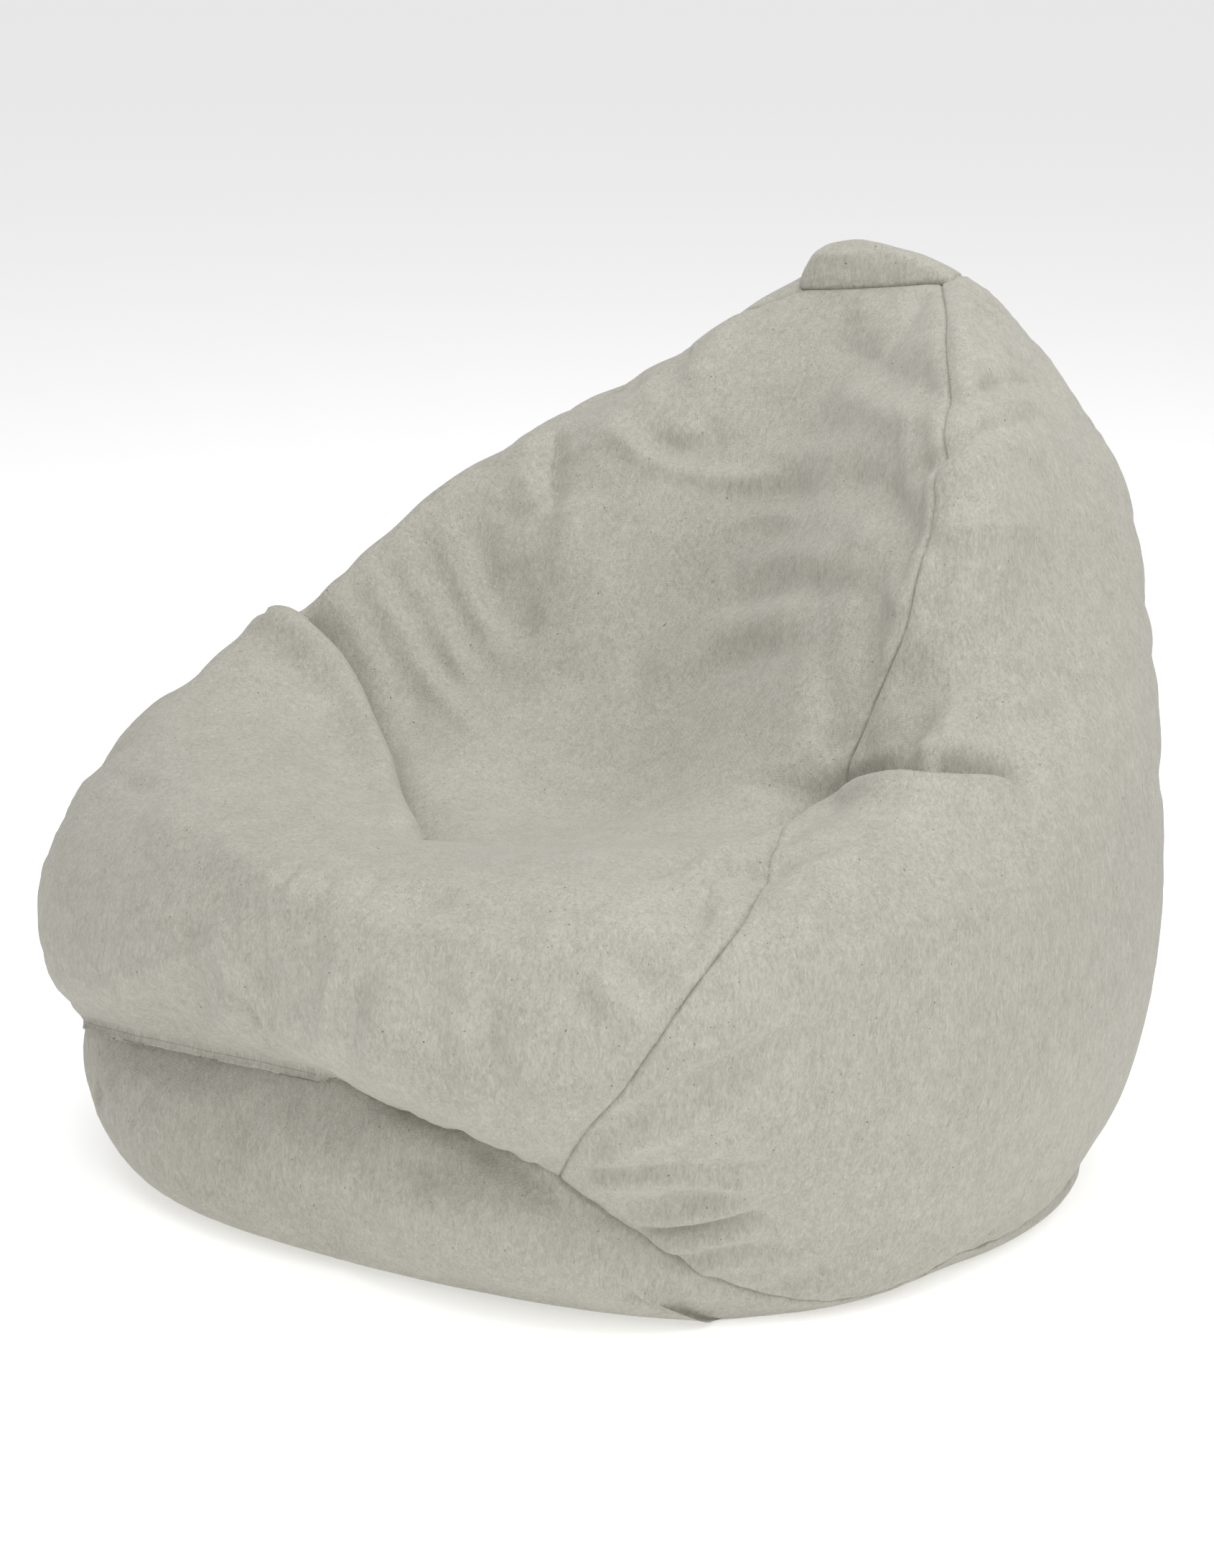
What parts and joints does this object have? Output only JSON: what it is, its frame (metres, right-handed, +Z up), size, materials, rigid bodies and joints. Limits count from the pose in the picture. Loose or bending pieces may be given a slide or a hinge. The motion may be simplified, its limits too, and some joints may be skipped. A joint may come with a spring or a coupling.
{
  "type": "bean bag chair",
  "caption": "Free-standing pear-shaped bean bag chair with a sat-in seat hollow, side bolsters, a leaning back, a small top cap and a hidden zip in the base seam.",
  "frame": {"origin": "on the floor under the middle of the bag's own bounding box", "axes": "+Z up, the chair faces -Y, +X to the right of someone looking at its front"},
  "size_m": [0.8901, 0.9, 0.7902],
  "materials": {
    "cover_cloth": "matte",
    "sewing_thread": "matte",
    "liner_cloth": "matte",
    "zip_tape": "matte",
    "zip_teeth": "satin",
    "zip_metal": "satin",
    "label_tape": "matte",
    "beads": "matte"
  },
  "bodies": {
    "bag": {"seat_panel": "cover_cloth", "right_side_panel": "cover_cloth", "back_panel": "cover_cloth", "left_side_panel": "cover_cloth", "base_panel": "cover_cloth", "top_cap": "cover_cloth", "seam_thread_front_right": "sewing_thread", "seam_thread_back_right": "sewing_thread", "seam_thread_back_left": "sewing_thread", "seam_thread_front_left": "sewing_thread", "seam_thread_base": "sewing_thread", "seam_thread_cap": "sewing_thread", "zip_tape_upper": "zip_tape", "zip_tape_lower": "zip_tape", "zip_teeth_upper": "zip_teeth", "zip_teeth_lower": "zip_teeth", "zip_stop_middle": "zip_metal", "zip_stop_corner": "zip_metal", "care_label": "label_tape", "liner_seat": "liner_cloth", "liner_right": "liner_cloth", "liner_back": "liner_cloth", "liner_left": "liner_cloth", "liner_base": "liner_cloth", "liner_cap": "liner_cloth", "bead_fill": "beads"},
    "slider": {"zip_slider": "zip_metal"},
    "puller": {"zip_puller": "zip_metal"}
  },
  "joints": [
    {"name": "zip_slide", "type": "slide", "parent": "bag", "child": "slider", "axis": [-0.9916, -0.0317, -0.1258], "range_m": [-0.225, 0]},
    {"name": "puller_flip", "type": "hinge", "parent": "slider", "child": "puller", "pos_m": [-0.26693, -0.37885, 0.15346], "axis": [0.1072, 0.3458, -0.9322], "range_deg": [0, 150]}
  ]
}
